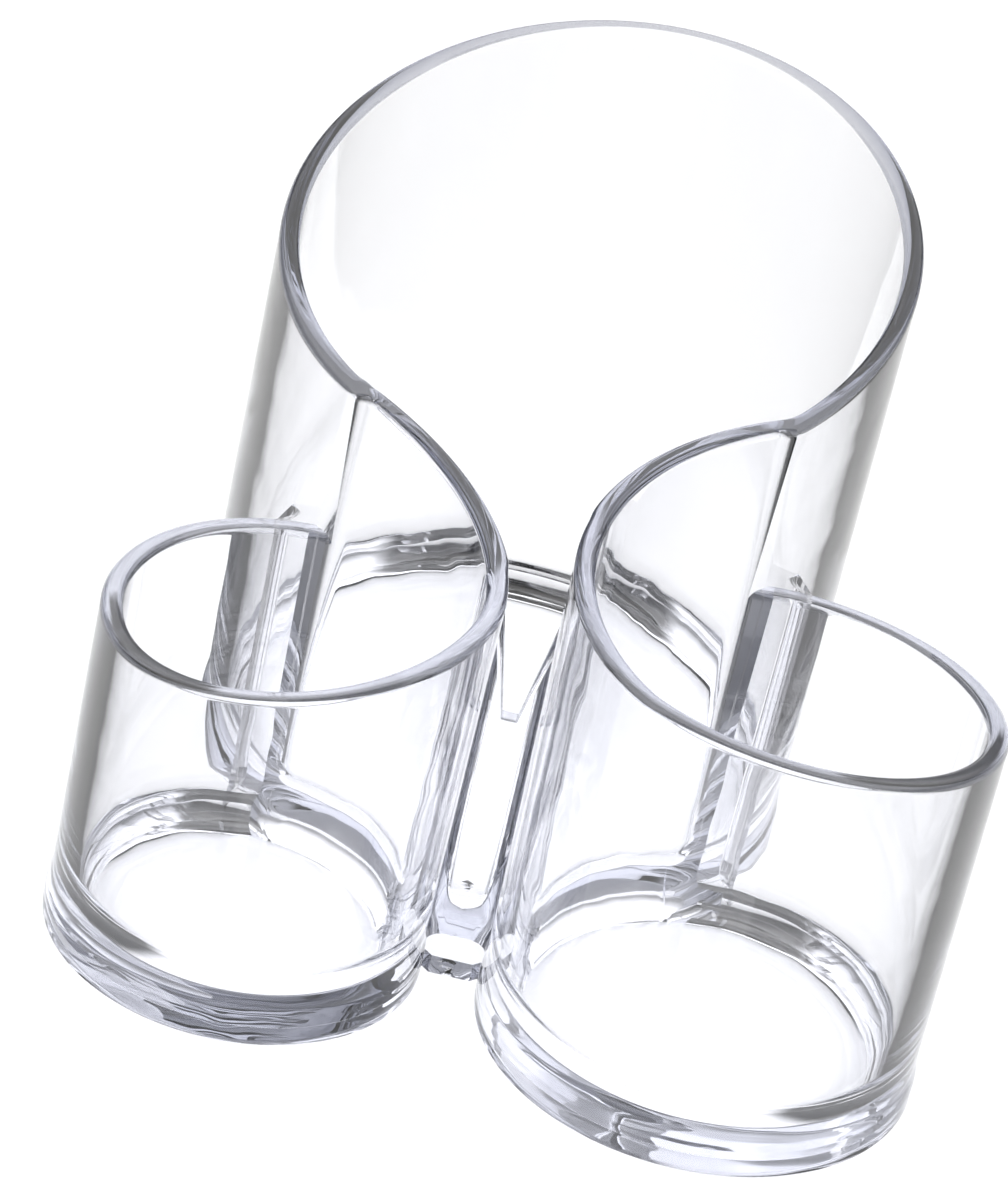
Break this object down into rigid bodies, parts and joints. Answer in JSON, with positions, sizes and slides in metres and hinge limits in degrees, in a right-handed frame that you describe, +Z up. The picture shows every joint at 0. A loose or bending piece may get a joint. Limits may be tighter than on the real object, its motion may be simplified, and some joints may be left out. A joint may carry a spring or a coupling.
{
  "type": "brush holder",
  "caption": "Clear desktop brush holder: a tall round cup with a slanted rim behind two shorter cups whose rims sweep up to it.",
  "frame": {"origin": "middle of the outline seen from above, on the table", "axes": "+Z up, -Y the front with the two short cups, +X to the right seen from the front"},
  "size_m": [0.1291, 0.1406, 0.1048],
  "materials": {
    "clear_plastic": "clear, polished"
  },
  "bodies": {
    "root": {"tall_cup": "clear_plastic", "left_cup": "clear_plastic", "right_cup": "clear_plastic", "front_web": "clear_plastic", "foot_plate": "clear_plastic"}
  },
  "joints": []
}
